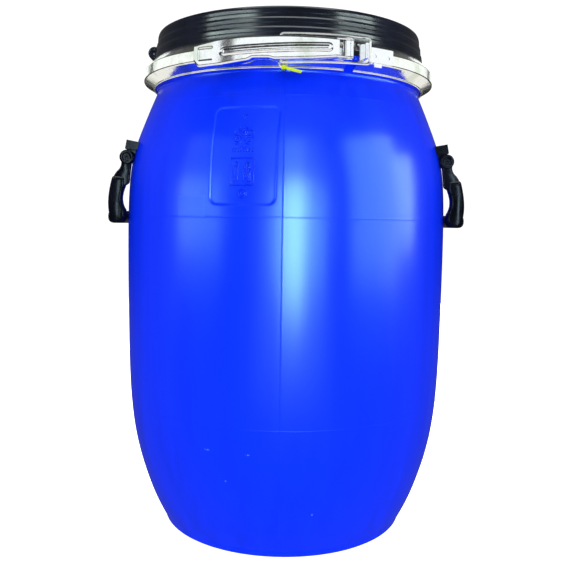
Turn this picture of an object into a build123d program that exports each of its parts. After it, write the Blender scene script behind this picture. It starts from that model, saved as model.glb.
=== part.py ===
"""Plastic open head drum, 60 litre: blow-moulded body, lid, lever closing ring and swing handles.

Frame: millimetres, +Z up, origin at the centre of the base. The latch faces -Y and the
handles are on +X and -X. An azimuth is an angle about +Z, zero at the front (-Y) and
growing towards +X.
"""
from build123d import *
import os
from math import asin, atan2, cos, degrees, hypot, radians, sin

# ---- driving dimensions -------------------------------------------------------------------
TOTAL_HEIGHT = 602.0
BELLY_RADIUS = 198.0
BODY_WALL = 3.2
HEEL_TOP = 8.6
BASE_RECESS = 5.0
BASE_RECESS_RADIUS = 106.0
BASE_RECESS_SLOPE = 6.0
BASE_FLAT_RADIUS = 136.0
NECK_RADIUS = 160.6
NECK_Z = 536.0

RING_RADIUS = 178.6
RING_WEB_LOW = 545.5
RING_WEB_HIGH = 557.5
RING_TOP_RADIUS = 166.8
RING_TOP_Z = 568.5
RING_LIP_RADIUS = 165.8
RING_LIP_Z = 538.5
RING_LIP_BEAD = 1.3
RING_SHEET = 1.2
RING_CLEARANCE = 0.3
RING_GAP = (20.7, 24.3)

BEAD_TOP = 551.8
RIM_TOP = 560.5
RIM_INNER = 157.8
RIM_OUTER = 162.2

LID_WALL = 3.4
LID_FLOOR = 564.0
LID_FLOOR_SHEET = 3.2
LID_CHANNEL = (156.2, 163.2)
LID_PLUG_DEPTH = 22.0
LID_HOOPS = (46.0, 140.0)
LID_HOOP_WIDTH = 3.0
LID_RIB_COUNT = 12
LID_RIB_HALF_WIDTH = 1.2
LID_RIB_HEIGHT = 3.0
THUMB_LUG = (-165.8, -8.0, 584.5)
THUMB_LUG_RADIUS = 8.0
THUMB_LUG_LENGTH = 18.0

FACE_RADIUS = 194.2
FLANGE_RADIUS = 182.0
LEVER_SHEET = 1.6
LEVER_END_AZIMUTH = 15.5
LEVER_RIB = ((-65.0, 549.4), (41.0, 553.8))
LEVER_RIB_HEIGHT = 8.6
FULCRUM_RADIUS = 188.1
FULCRUM_AZIMUTH = 18.9
FULCRUM_PIN = 3.0
KNUCKLE_RADIUS = 6.1
EAR_HIGH = (562.0, 563.6)
EAR_LOW = (544.4, 546.0)
EAR_CLEARANCE = 0.3
STRAP_START = 6.0
NECK_HALF_ANGLE = 1.55

WIRE_RADIUS = 1.4
LINK_RADIUS = 190.0
LINK_LEVER_AZIMUTH = -2.4
LINK_HOOK_AZIMUTH = 26.3
LINK_LEVER_Z = (537.6, 566.6)
LINK_HOOK_Z = (541.2, 567.4)

CATCH_PLATE = (24.4, 38.4)
CATCH_FOOT = (30.2, 33.4)
CATCH_FLANK = (22.9, 24.6)
CATCH_FLANK_RADIUS = 187.4
CATCH_FLANK_Z = (543.6, 561.4)
HOOK_AZIMUTH = 25.0
HOOK_THICKNESS = 3.6
DIMPLE_AZIMUTHS = (30.5, 36.4)
DIMPLE_Z = 553.0
DIMPLE_RADIUS = 1.7
DIMPLE_DEPTH = 0.8

SEAL_EYE = (-4.5, 534.9)
SEAL_Y = -184.0

BRACKET_SHEET = 1.8
BRACKET_INNER = RING_RADIUS + 0.1
RUNNING_FIT = 0.07

LUG_LOW = (150.0, 61.0, 463.4)
LUG_HIGH = (181.5, 67.0, 467.4)
LUG_CLEARANCE = 0.1

HINGE_X = 189.0
HINGE_Z = 452.1
HINGE_PIN = 3.0
EAR_RADIUS = 7.7
HUB_RADIUS = 7.2
CAP_RADIUS = 8.6
EAR_Y = (55.0, 62.0)
HUB_Y = (62.4, 66.0)
CAP_Y = (66.0, 71.0)
NECK_Y = (62.4, 69.4)
ARM_Y = (57.0, 71.0)
GRIP_RADII = (200.7, 222.9)
GRIP_Z = (374.2, 390.2)
GRIP_FILLET = 4.6


# ---- helpers ------------------------------------------------------------------------------
def spot(azimuth, radius, z=0.0):
    """The point at an azimuth, a distance from the drum's axis and a height."""
    turn = radians(azimuth)
    return Vector(radius * sin(turn), -radius * cos(turn), z)


def radial_plane(azimuth):
    """The upright half plane at an azimuth: local x is the radius and local y is the height."""
    out = spot(azimuth, 1.0)
    return Plane(origin=(0, 0, 0), x_dir=out, z_dir=(out.Y, -out.X, 0))


def turned(points, start=0.0, sweep=360.0):
    """Revolve a closed outline of (radius, height) points about the drum's axis."""
    face = make_face(Polyline(*points, close=True))
    return revolve(radial_plane(start) * face, axis=Axis.Z, revolution_arc=sweep)


def sector(radii, heights, azimuths):
    """A curved slab between two radii, two heights and two azimuths."""
    (r_in, r_out), (low, high) = radii, heights
    outline = [(r_in, low), (r_out, low), (r_out, high), (r_in, high)]
    return turned(outline, azimuths[0], azimuths[1] - azimuths[0])


def upright(azimuth, radius, heights, size):
    """An upright round bar."""
    return Pos(spot(azimuth, radius, (heights[0] + heights[1]) / 2)) * Cylinder(size, heights[1] - heights[0])


def block(low, high):
    """A box between two corners."""
    centre = [(a + b) / 2 for a, b in zip(low, high)]
    return Pos(*centre) * Box(*[b - a for a, b in zip(low, high)])


def along_y(x, z, y_range, size):
    """A round bar that lies along Y."""
    middle = (y_range[0] + y_range[1]) / 2
    return Pos(x, middle, z) * Rot(90, 0, 0) * Cylinder(size, y_range[1] - y_range[0])


def slab(outline, thickness):
    """An outline of (x, z) points or of edges, made thick from Y = 0 towards +Y."""
    if isinstance(outline[0], tuple):
        outline = [Polyline(*outline, close=True)]
    return extrude(Plane.XZ * make_face(outline), -thickness)


def placed(shape, side, end=1):
    """Mirror a shape made at +X and +Y to the side and the end that it is for."""
    if side < 0:
        shape = mirror(shape, about=Plane.YZ)
    if end < 0:
        shape = mirror(shape, about=Plane.XZ)
    return shape


def inset_line(first, second, depth):
    """The line from first to second, moved by depth to its left side."""
    run = (second[0] - first[0], second[1] - first[1])
    length = hypot(*run)
    shift = (-run[1] / length * depth, run[0] / length * depth)
    return [(x + shift[0], z + shift[1]) for x, z in (first, second)]


def crossing(line_a, line_b):
    """Where two lines, each given by two points, cross."""
    (x1, z1), (x2, z2) = line_a
    (x3, z3), (x4, z4) = line_b
    scale = (x1 - x2) * (z3 - z4) - (z1 - z2) * (x3 - x4)
    part_a = x1 * z2 - z1 * x2
    part_b = x3 * z4 - z3 * x4
    x = (part_a * (x3 - x4) - (x1 - x2) * part_b) / scale
    z = (part_a * (z3 - z4) - (z1 - z2) * part_b) / scale
    return (x, z)


def ring_corners(depth):
    """The ring's section as four corners from lip to top, moved inwards by depth."""
    lip, low = (RING_LIP_RADIUS, RING_LIP_Z), (RING_RADIUS, RING_WEB_LOW)
    high, top = (RING_RADIUS, RING_WEB_HIGH), (RING_TOP_RADIUS, RING_TOP_Z)
    lines = [inset_line(lip, low, depth), inset_line(low, high, depth), inset_line(high, top, depth)]
    return [lines[0][0], crossing(lines[0], lines[1]), crossing(lines[1], lines[2]), lines[2][1]]


# ---- body ---------------------------------------------------------------------------------
BODY_CURVE = [
    (151.6, HEEL_TOP), (162.5, 30.0), (174.3, 60.0), (188.0, 110.0), (195.2, 170.0), (197.4, 240.0),
    (BELLY_RADIUS, 320.0), (197.7, 380.0), (196.6, 412.0), (193.6, 442.0), (188.1, 467.0),
    (179.4, 491.0), (169.7, 515.0), (NECK_RADIUS, NECK_Z),
]
HEEL_MIDDLE = (146.0, 2.9)


def body_skin(inset):
    """The body's side as a smooth line from the heel to the neck, moved inwards by inset."""
    return Spline(*[(r - inset, z) for r, z in BODY_CURVE])


def body_core():
    """A solid plug of the body's outer shape, to trim what is mounted on it."""
    side = body_skin(0)
    bottom = Polyline((0, HEEL_TOP), (0, NECK_Z), (NECK_RADIUS, NECK_Z))
    base = Line((0, HEEL_TOP), side @ 0)
    return revolve(radial_plane(0) * make_face([side, bottom, base]), axis=Axis.Z)


def handle_lug(side, end):
    """The moulded block on the shoulder that a handle bracket is pressed over."""
    return placed(block(LUG_LOW, LUG_HIGH), side, end)


def drum_body():
    """Blow-moulded barrel with a recessed base, a clamping bead and an upright rim."""
    bead = ring_corners(RING_SHEET + RING_CLEARANCE)
    outer_side = body_skin(0)
    inner_side = body_skin(BODY_WALL)
    foot = outer_side @ 0
    heel = ThreePointArc((BASE_FLAT_RADIUS, 0), HEEL_MIDDLE, foot)
    base = Polyline((0, BASE_RECESS), (BASE_RECESS_RADIUS, BASE_RECESS),
                    (BASE_RECESS_RADIUS + BASE_RECESS_SLOPE, 0), (BASE_FLAT_RADIUS, 0))
    top = Polyline(outer_side @ 1, bead[0], bead[1], (bead[1][0], BEAD_TOP), (RIM_OUTER, BEAD_TOP),
                   (RIM_OUTER, RIM_TOP), (RIM_INNER, RIM_TOP), inner_side @ 1)
    floor = BASE_RECESS + BODY_WALL
    inside = Polyline(inner_side @ 0, (BASE_FLAT_RADIUS, floor - 2.2), (BASE_RECESS_RADIUS + 8, floor - 3.6),
                      (BASE_RECESS_RADIUS, floor), (0, floor), (0, BASE_RECESS))
    section = make_face([base, heel, outer_side, top, inner_side, inside])
    shell = revolve(radial_plane(0) * section, axis=Axis.Z)
    core = body_core()
    for side in (1, -1):
        for end in (1, -1):
            shell += handle_lug(side, end) - core
    return shell


# ---- lid ----------------------------------------------------------------------------------
LID_STEPS = [
    (165.3, 567.9), (165.0, 579.4), (163.7, 580.4), (163.4, 589.4), (162.1, 590.4), (161.6, 599.6),
    (160.0, TOTAL_HEIGHT), (158.6, TOTAL_HEIGHT), (158.1, 600.6), (158.6, 591.6), (160.0, 589.6),
    (160.2, 581.6), (161.4, 579.6),
]
LID_RECESS_RADIUS = 161.7
LID_SKIRT = (152.4, 152.8, 155.2)


def lid():
    """Moulded lid: clamping flange, plug skirt, stepped stacking wall and ribbed floor."""
    clamp = ring_corners(RING_SHEET + RING_CLEARANCE)
    flange = clamp[2]
    floor_top = LID_FLOOR + LID_FLOOR_SHEET
    inner, outer = LID_CHANNEL
    plug_low = LID_FLOOR - LID_PLUG_DEPTH
    skirt_top, skirt_inner, skirt_outer = LID_SKIRT
    outside = [(flange[0], BEAD_TOP), flange] + LID_STEPS
    floor = [(LID_RECESS_RADIUS, floor_top), (0, floor_top), (0, LID_FLOOR), (skirt_top, LID_FLOOR)]
    skirt = [(skirt_inner, plug_low), (skirt_outer, plug_low), (inner, LID_FLOOR)]
    channel = [(outer, LID_FLOOR), (outer, BEAD_TOP)]
    shell = turned(outside + floor + skirt + channel)
    rib_top = floor_top + LID_RIB_HEIGHT
    for radius in LID_HOOPS:
        shell += sector((radius, radius + LID_HOOP_WIDTH), (LID_FLOOR, rib_top), (0, 360))
    for index in range(LID_RIB_COUNT):
        rib = block((LID_HOOPS[0] + 2, -LID_RIB_HALF_WIDTH, LID_FLOOR + 0.5),
                    (LID_HOOPS[1] + 1, LID_RIB_HALF_WIDTH, rib_top))
        shell += Rot(0, 0, index * 360 / LID_RIB_COUNT) * rib
    grip = Rot(90, 0, 0) * Cylinder(THUMB_LUG_RADIUS, THUMB_LUG_LENGTH)
    lug = Pos(*THUMB_LUG) * fillet(grip.edges(), 2.0)
    recess_core = Pos(0, 0, LID_FLOOR + 25) * Cylinder(162.0, 60.0)
    return shell + (lug - recess_core)


def lid_gasket():
    """Rubber sealing ring between the body's rim and the lid's channel."""
    inner, outer = LID_CHANNEL
    outline = [(inner + 0.9, RIM_TOP), (outer - 0.3, RIM_TOP), (outer - 0.3, LID_FLOOR),
               (inner + 0.9, LID_FLOOR)]
    return turned(outline)


# ---- closing ring -------------------------------------------------------------------------
def locking_ring():
    """Rolled steel hoop of trapezoid section, split at the front, with a rolled lower lip."""
    outside = ring_corners(0.0)
    inside = ring_corners(RING_SHEET)
    start, sweep = RING_GAP[1], 360 - (RING_GAP[1] - RING_GAP[0])
    band = turned(outside + inside[::-1], start, sweep)
    lip = radial_plane(start) * Pos(RING_LIP_RADIUS - 0.2, RING_LIP_Z - 0.2) * Circle(RING_LIP_BEAD)
    return band + revolve(lip, axis=Axis.Z, revolution_arc=sweep)


def fulcrum_bracket():
    """Strap welded to the ring's left end, curled round the lever's pivot pin."""
    low, high = EAR_LOW[1] + EAR_CLEARANCE, EAR_HIGH[0] - EAR_CLEARANCE
    strap_top = RING_WEB_HIGH - 0.5
    neck_start, neck_end = FULCRUM_AZIMUTH - NECK_HALF_ANGLE, FULCRUM_AZIMUTH + NECK_HALF_ANGLE
    strap = sector((BRACKET_INNER, BRACKET_INNER + BRACKET_SHEET), (RING_WEB_LOW + 1, strap_top),
                   (STRAP_START, neck_end))
    neck = sector((BRACKET_INNER, FULCRUM_RADIUS), (low, strap_top), (neck_start, neck_end))
    knuckle = upright(FULCRUM_AZIMUTH, FULCRUM_RADIUS, (low, high), KNUCKLE_RADIUS)
    seam = sector((FULCRUM_RADIUS + 4.6, FULCRUM_RADIUS + 12), (low + 2.5, high - 2.5),
                  (FULCRUM_AZIMUTH - 0.15, FULCRUM_AZIMUTH + 0.15))
    bore = upright(FULCRUM_AZIMUTH, FULCRUM_RADIUS, (low - 5, high + 5), FULCRUM_PIN)
    return strap + neck + knuckle - seam - bore


def catch_bracket():
    """Plate welded to the ring's right end, folded up into a flank and the hook that holds the link."""
    inner, outer = BRACKET_INNER, BRACKET_INNER + BRACKET_SHEET
    heights = (RING_WEB_LOW + 0.6, RING_WEB_HIGH + 4.0)
    plate = sector((inner, outer), heights, CATCH_PLATE)
    free_end = plate.edges().filter_by(lambda e: e.length < 3 and azimuth_of(e) > CATCH_PLATE[1] - 0.5)
    plate = fillet(free_end, 0.8)
    foot = sector((inner, outer - 0.4), (RING_WEB_LOW - 3.6, heights[1] - 3), CATCH_FOOT)
    flank = sector((inner, CATCH_FLANK_RADIUS), CATCH_FLANK_Z, CATCH_FLANK)
    bar_edge = LINK_RADIUS * radians(LINK_HOOK_AZIMUTH - HOOK_AZIMUTH) - WIRE_RADIUS - 0.4
    tip = (bar_edge - 1.7, FACE_RADIUS)
    root = bar_edge + 1.1
    lean = [(root, inner), tip, (tip[0] - HOOK_THICKNESS, FACE_RADIUS), (root - 6.5, inner)]
    out = spot(HOOK_AZIMUTH, 1.0)
    plan = Plane(origin=(0, 0, heights[1]), x_dir=(-out.Y, out.X, 0), z_dir=(0, 0, -1))
    hook = extrude(plan * make_face(Polyline(*lean, close=True)), heights[1] - heights[0])
    crest = hook.edges().filter_by(Axis.Z).sort_by(lambda e: hypot(e.center().X, e.center().Y))[-2:]
    bracket = plate + foot + flank + fillet(crest, 1.5)
    for azimuth in DIMPLE_AZIMUTHS:
        dimple = Rot(0, 0, azimuth) * Rot(90, 0, 0) * Cylinder(DIMPLE_RADIUS, 2 * DIMPLE_DEPTH)
        bracket -= Pos(spot(azimuth, outer, DIMPLE_Z)) * dimple
    return bracket


def azimuth_of(edge):
    """The azimuth of an edge's middle."""
    point = edge.center()
    return degrees(asin(point.X / hypot(point.X, point.Y)))


def seal_lug():
    """Small steel tab welded to the ring, with a pointed eye below the lever for the seal."""
    inner, outer = BRACKET_INNER, BRACKET_INNER + 1.4
    x, z = SEAL_EYE
    high = RING_WEB_HIGH - 3
    tab = sector((inner, outer), (z - 4, high), (-4.0, 0.4))
    shape = [(x - 1.1, z - 3.2), (x - 5.9, z + 4.0), (x - 7.5, high), (x + 5.7, high), (x + 4.9, z + 4.0),
             (x + 1.1, z - 3.2)]
    mask = extrude(Plane.XZ * make_face(Polyline(*shape, close=True)), 220)
    eye = Pos(x, 0, z) * Rot(90, 0, 0) * Cylinder(1.3, 500)
    return (tab & mask) - eye


# ---- latch --------------------------------------------------------------------------------
LEVER_EDGE = [
    (-28.8, 535.4), (-30.7, 542.8), (-30.4, 558.2), (-22.0, 562.3), (-14.0, 563.8), (-1.0, 564.2),
    (8.0, 564.0), (LEVER_END_AZIMUTH, EAR_HIGH[1]), (LEVER_END_AZIMUTH, EAR_LOW[0]), (8.0, 541.6),
    (1.0, 540.2), (-4.2, 539.8), (-5.8, 541.4), (-10.7, 541.6), (-12.3, 539.2), (-20.9, 536.0),
]


def lever_face(points):
    """A flat outline in the XZ plane from (azimuth, height) points on the lever's outer face."""
    flat = [(FACE_RADIUS * sin(radians(azimuth)), z) for azimuth, z in points]
    return Plane.XZ * make_face(Polyline(*flat, close=True))


def latch_lever():
    """Pressed channel lever that follows the ring, with two ears round the pivot pin."""
    span = (500, 600)
    reach = (-45, 30)
    edge = lever_face(LEVER_EDGE)
    pressing = extrude(edge, 220) & sector((FLANGE_RADIUS, FACE_RADIUS), span, reach)
    pocket = extrude(offset(edge, -LEVER_SHEET, kind=Kind.INTERSECTION), 220)
    mouth = [(12, EAR_LOW[1]), (17, EAR_LOW[1]), (17, EAR_HIGH[0]), (12, EAR_HIGH[0])]
    pocket += extrude(lever_face(mouth), 220)
    pressing -= pocket & sector((FLANGE_RADIUS - 5, FACE_RADIUS - LEVER_SHEET), span, reach)
    for heights in (EAR_LOW, EAR_HIGH):
        pressing += sector((FLANGE_RADIUS, FACE_RADIUS), heights, (LEVER_END_AZIMUTH - 0.5, FULCRUM_AZIMUTH))
        pressing += upright(FULCRUM_AZIMUTH, FULCRUM_RADIUS, heights, KNUCKLE_RADIUS)
    left, right = LEVER_RIB
    rise = degrees(atan2(right[1] - left[1], right[0] - left[0]))
    rib = Plane.XZ * SlotCenterToCenter(right[0] - left[0], LEVER_RIB_HEIGHT)
    rib = Pos((left[0] + right[0]) / 2, 0, (left[1] + right[1]) / 2) * Rot(0, -rise, 0) * rib
    raised = sector((FACE_RADIUS - 0.4, FACE_RADIUS + 1.2), span, reach)
    pressing += extrude(rib, 220, dir=(0, -1, 0)) & raised
    pressing -= upright(LINK_LEVER_AZIMUTH, LINK_RADIUS, span, WIRE_RADIUS + RUNNING_FIT)
    return pressing - upright(FULCRUM_AZIMUTH, FULCRUM_RADIUS, span, FULCRUM_PIN + RUNNING_FIT)


def lever_pin():
    """Pivot rivet: shank pressed in the fulcrum bracket, with a thin head above and below."""
    low, high = EAR_LOW[0] - 0.2, EAR_HIGH[1] + 0.2
    pin = upright(FULCRUM_AZIMUTH, FULCRUM_RADIUS, (low, high), FULCRUM_PIN)
    for heights in ((low - 1.0, low), (high, high + 1.0)):
        pin += upright(FULCRUM_AZIMUTH, FULCRUM_RADIUS, heights, FULCRUM_PIN + 1.6)
    return pin


def latch_link():
    """Wire frame that pulls the ring's ends together: two curved rails and two upright bars."""
    middle_azimuth = (LINK_LEVER_AZIMUTH + LINK_HOOK_AZIMUTH) / 2
    frame = upright(LINK_LEVER_AZIMUTH, LINK_RADIUS, LINK_LEVER_Z, WIRE_RADIUS)
    frame += upright(LINK_HOOK_AZIMUTH, LINK_RADIUS, LINK_HOOK_Z, WIRE_RADIUS)
    for z_lever, z_hook in zip(LINK_LEVER_Z, LINK_HOOK_Z):
        ends = [spot(LINK_LEVER_AZIMUTH, LINK_RADIUS, z_lever), spot(LINK_HOOK_AZIMUTH, LINK_RADIUS, z_hook)]
        rail = ThreePointArc(ends[0], spot(middle_azimuth, LINK_RADIUS, (z_lever + z_hook) / 2), ends[1])
        frame += sweep(Plane(origin=rail @ 0, z_dir=rail % 0) * Circle(WIRE_RADIUS), path=rail)
        for end in ends:
            frame += Pos(end) * Sphere(WIRE_RADIUS + 0.1)
    return frame


def security_seal():
    """Plastic pull-tight seal: a stub through the eye of the seal lug and a flat tail."""
    x, z = SEAL_EYE
    stub = Pos(x, SEAL_Y + 1.4, z) * Rot(90, 0, 0) * Cylinder(1.2, 9.0)
    head = Pos(x, SEAL_Y, z - 0.6) * Box(5.0, 4.0, 4.2)
    tail = Pos(x + 9.5, SEAL_Y, z - 3.0) * Rot(0, 14, 0) * Box(18.0, 1.4, 2.8)
    return stub + fillet(head.edges(), 0.8) + fillet(tail.edges().filter_by(Axis.Y), 0.8)


# ---- handles ------------------------------------------------------------------------------
BRACKET_TOP = [(160.0, 467.0), (176.3, 469.9), (188.6, 472.2), (190.5, 462.4)]
BAIL_NECK = [
    (183.8, 446.0), (185.6, 432.0), (186.6, 421.6), (191.6, 418.4), (206.0, 424.0), (205.6, 430.4),
    (202.3, 434.4), (197.6, 438.8), (195.6, 443.4), (196.0, 450.0),
]


def handle_bracket(side, end, core):
    """Moulded block pressed over the body's lug, with an ear that holds the hinge pin."""
    low = CAP_RADIUS + HINGE_Z + 0.4
    head = Pos(0, EAR_Y[0], 0) * slab(BRACKET_TOP + [(190.0, low), (160.0, low)], ARM_Y[1] - EAR_Y[0])
    ear = along_y(HINGE_X, HINGE_Z, EAR_Y, EAR_RADIUS)
    ear += block((HINGE_X - 16.0, EAR_Y[0], HINGE_Z - 2), (HINGE_X + 0.2, EAR_Y[1], low + 1.6))
    gap = LUG_CLEARANCE
    pocket = block([v - gap for v in LUG_LOW], [v + gap for v in LUG_HIGH])
    bore = along_y(HINGE_X, HINGE_Z, (50, 80), HINGE_PIN)
    return placed(head + ear - core - pocket - bore, side, end)


def hinge_pin(side, end):
    """Round pin pressed in a bracket's ear, on which the bail turns."""
    return placed(along_y(HINGE_X, HINGE_Z, (EAR_Y[0] + 0.5, CAP_Y[1] - 0.4), HINGE_PIN), side, end)


def bail_arm():
    """One arm of a bail: a capped boss, a neck set back from the front and a thick bowed lower part."""
    boss = along_y(HINGE_X, HINGE_Z, HUB_Y, HUB_RADIUS) + along_y(HINGE_X, HINGE_Z, CAP_Y, CAP_RADIUS)
    neck = Pos(0, NECK_Y[0], 0) * slab(BAIL_NECK, NECK_Y[1] - NECK_Y[0])
    outer = ThreePointArc((206.0, 430.6), (211.3, 404.0), (209.8, 383.0))
    toe = ThreePointArc(outer @ 1, (207.6, 377.2), (203.0, GRIP_Z[0]))
    under = Polyline(toe @ 1, (197.2, GRIP_Z[0]), (191.2, GRIP_Z[0] + 6.0), (191.2, GRIP_Z[1]))
    inner = ThreePointArc(under @ 1, (195.3, 403.0), (191.6, 418.4))
    ledge = Polyline(inner @ 1, (191.2, 428.7), outer @ 0)
    thick = slab([outer, toe, under, inner, ledge], ARM_Y[1] - ARM_Y[0])
    return boss + neck + Pos(0, ARM_Y[0], 0) * thick


def handle_bail(side):
    """Swing handle: two arms joined by a grip that follows the curve of the drum."""
    half_width = ARM_Y[1]
    half_angle = degrees(asin(half_width / GRIP_RADII[1])) + 1
    grip = sector(GRIP_RADII, GRIP_Z, (90 - half_angle, 90 + half_angle))
    grip = fillet(grip.edges().filter_by(GeomType.CIRCLE), GRIP_FILLET)
    grip &= block((150, -half_width, 300), (300, half_width, 500))
    arm = bail_arm()
    bail = grip + arm + mirror(arm, about=Plane.XZ)
    bail -= along_y(HINGE_X, HINGE_Z, (-100, 100), HINGE_PIN + RUNNING_FIT)
    return placed(bail, side)


# ---- write the parts ----------------------------------------------------------------------
def all_parts():
    """Every sub-part by its node name."""
    parts = {
        "drum_body": drum_body(),
        "lid": lid(),
        "lid_gasket": lid_gasket(),
        "locking_ring": locking_ring(),
        "fulcrum_bracket": fulcrum_bracket(),
        "catch_bracket": catch_bracket(),
        "seal_lug": seal_lug(),
        "security_seal": security_seal(),
        "latch_lever": latch_lever(),
        "lever_pin": lever_pin(),
        "latch_link": latch_link(),
    }
    core = body_core()
    for side, side_name in ((-1, "left"), (1, "right")):
        parts[side_name + "_handle"] = handle_bail(side)
        for end, end_name in ((-1, "front"), (1, "rear")):
            parts[f"{side_name}_{end_name}_handle_bracket"] = handle_bracket(side, end, core)
            parts[f"{side_name}_{end_name}_hinge_pin"] = hinge_pin(side, end)
    return parts


os.makedirs("parts", exist_ok=True)
for name, shape in all_parts().items():
    export_step(shape, f"parts/{name}.step")
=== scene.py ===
"""Looks of a plastic open head drum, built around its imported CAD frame.

Metres, +Z up, origin at the centre of the base, latch on -Y and handles on +X and -X. An azimuth
is an angle about +Z in degrees, zero at the front (-Y) and growing towards +X.
"""
from math import asin, cos, degrees, exp, hypot, pi, radians, sin

import bmesh
import bpy
import numpy as np
from mathutils import Matrix, Vector

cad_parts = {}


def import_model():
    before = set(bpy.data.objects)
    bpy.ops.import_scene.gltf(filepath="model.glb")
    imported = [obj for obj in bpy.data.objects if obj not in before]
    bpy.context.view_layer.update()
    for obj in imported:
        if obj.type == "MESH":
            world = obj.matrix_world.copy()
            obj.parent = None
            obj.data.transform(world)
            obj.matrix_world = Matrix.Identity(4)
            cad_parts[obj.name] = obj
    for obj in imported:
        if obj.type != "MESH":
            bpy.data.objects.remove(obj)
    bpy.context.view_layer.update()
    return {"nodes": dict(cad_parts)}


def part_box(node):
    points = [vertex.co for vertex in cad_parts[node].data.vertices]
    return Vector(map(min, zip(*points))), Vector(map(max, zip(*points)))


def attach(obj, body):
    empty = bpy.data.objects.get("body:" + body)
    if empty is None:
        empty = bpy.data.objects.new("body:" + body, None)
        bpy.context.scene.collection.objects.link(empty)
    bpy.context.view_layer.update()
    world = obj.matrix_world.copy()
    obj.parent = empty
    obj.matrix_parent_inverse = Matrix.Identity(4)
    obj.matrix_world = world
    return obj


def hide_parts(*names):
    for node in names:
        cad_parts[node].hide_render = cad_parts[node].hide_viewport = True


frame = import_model()
MM = 0.001

# ---- sizes read from the frame ------------------------------------------------------------
BODY_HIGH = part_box("drum_body")[1]
BELLY, BODY_TOP = BODY_HIGH[0], BODY_HIGH[2]
LID_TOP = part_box("lid")[1][2]


# ---- small tools --------------------------------------------------------------------------
def spot(azimuth, radius, z=0.0):
    """The point at an azimuth, a distance from the drum's axis and a height."""
    turn = radians(azimuth)
    return Vector((radius * sin(turn), -radius * cos(turn), z))


def mm(points):
    """Points given in millimetres, in metres."""
    return [tuple(value * MM for value in point) for point in points]


def new_object(name, vertices, faces):
    """A smooth-shaded mesh object from vertices and faces."""
    mesh = bpy.data.meshes.new(name)
    mesh.from_pydata([tuple(v) for v in vertices], [], faces)
    mesh.validate()
    mesh.update()
    for polygon in mesh.polygons:
        polygon.use_smooth = True
    thing = bpy.data.objects.new(name, mesh)
    bpy.context.scene.collection.objects.link(thing)
    return thing


def bevel(thing, width, segments=3, angle=35.0):
    """Rounds the edges of a piece that are sharper than an angle."""
    modifier = thing.modifiers.new("bevel", "BEVEL")
    modifier.width = width
    modifier.segments = segments
    modifier.limit_method = "ANGLE"
    modifier.angle_limit = radians(angle)
    modifier.harden_normals = False
    return modifier


def crisp(thing, angle=32.0):
    """Keeps flat faces flat in the shading beside rounded corners, and sharp edges sharp."""
    thing.data.set_sharp_from_angle(angle=radians(angle))
    modifier = thing.modifiers.new("crisp", "WEIGHTED_NORMAL")
    modifier.keep_sharp = True
    modifier.weight = 60


METALS, BLUES, BLACKS = [bpy.data.collections.new(name) for name in ("metals", "blues", "blacks")]


def paint(thing, material):
    """Gives a piece its material and lists it with its group of looks, for the lamps."""
    thing.data.materials.clear()
    thing.data.materials.append(material)
    group = METALS if "steel" in material.name else BLUES if "blue" in material.name else BLACKS
    group.objects.link(thing)


def finish_piece(thing, body, material, replaced=()):
    """Puts a piece on its body, hides the CAD nodes it stands for, and paints it."""
    paint(thing, material)
    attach(thing, body)
    if replaced:
        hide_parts(*replaced)


def rounded(corners, steps=5):
    """A closed outline of (x, y, radius) corners, with each corner rounded by its radius."""
    outline = []
    count = len(corners)
    for index, (x, y, radius) in enumerate(corners):
        here = Vector((x, y))
        before = Vector(corners[index - 1][:2]) - here
        after = Vector(corners[(index + 1) % count][:2]) - here
        if radius <= 0:
            outline.append((x, y))
            continue
        reach = min(radius, before.length * 0.48, after.length * 0.48)
        first = here + before.normalized() * reach
        last = here + after.normalized() * reach
        for step in range(steps + 1):
            t = step / steps
            point = first * (1 - t) ** 2 + here * 2 * t * (1 - t) + last * t * t
            outline.append((point.x, point.y))
    return outline


def lathe(name, outline, columns=256, start=0.0, sweep=360.0):
    """A closed outline of (radius, height) points, turned about the drum's axis."""
    whole = sweep >= 360.0
    rings = columns if whole else columns + 1
    count = len(outline)
    vertices = []
    for index in range(rings):
        azimuth = start + sweep * index / columns
        vertices += [spot(azimuth, radius, z) for radius, z in outline]
    faces = []
    for index in range(columns):
        a = index * count
        b = ((index + 1) % rings) * count
        for row in range(count):
            after = (row + 1) % count
            faces.append((a + row, a + after, b + after, b + row))
    if not whole:
        faces.append(tuple(range(count))[::-1])
        faces.append(tuple((rings - 1) * count + row for row in range(count)))
    thing = new_object(name, vertices, faces)
    merge(thing)
    return thing


def merge(thing, distance=1e-6):
    """Joins vertices that lie on each other and turns all faces outwards."""
    work = bmesh.new()
    work.from_mesh(thing.data)
    bmesh.ops.remove_doubles(work, verts=work.verts, dist=distance)
    bmesh.ops.recalc_face_normals(work, faces=work.faces)
    work.to_mesh(thing.data)
    work.free()
    for polygon in thing.data.polygons:
        polygon.use_smooth = True


def tube(name, path, radius, closed=False, sides=14):
    """A round wire along a path of points."""
    count = len(path)
    vertices = []
    normal = None
    for index in range(count):
        ahead = path[(index + 1) % count] if closed or index < count - 1 else path[index]
        behind = path[index - 1] if closed or index > 0 else path[index]
        tangent = (ahead - behind).normalized()
        if normal is None:
            normal = tangent.orthogonal().normalized()
        normal = (normal - tangent * normal.dot(tangent)).normalized()
        other = tangent.cross(normal)
        for side in range(sides):
            turn = 2 * pi * side / sides
            vertices.append(path[index] + (normal * cos(turn) + other * sin(turn)) * radius)
    faces = []
    for index in range(count if closed else count - 1):
        a, b = index * sides, ((index + 1) % count) * sides
        for side in range(sides):
            after = (side + 1) % sides
            faces.append((a + side, a + after, b + after, b + side))
    if not closed:
        faces.append(tuple(range(sides))[::-1])
        faces.append(tuple((count - 1) * sides + side for side in range(sides)))
    thing = new_object(name, vertices, faces)
    merge(thing)
    return thing


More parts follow.
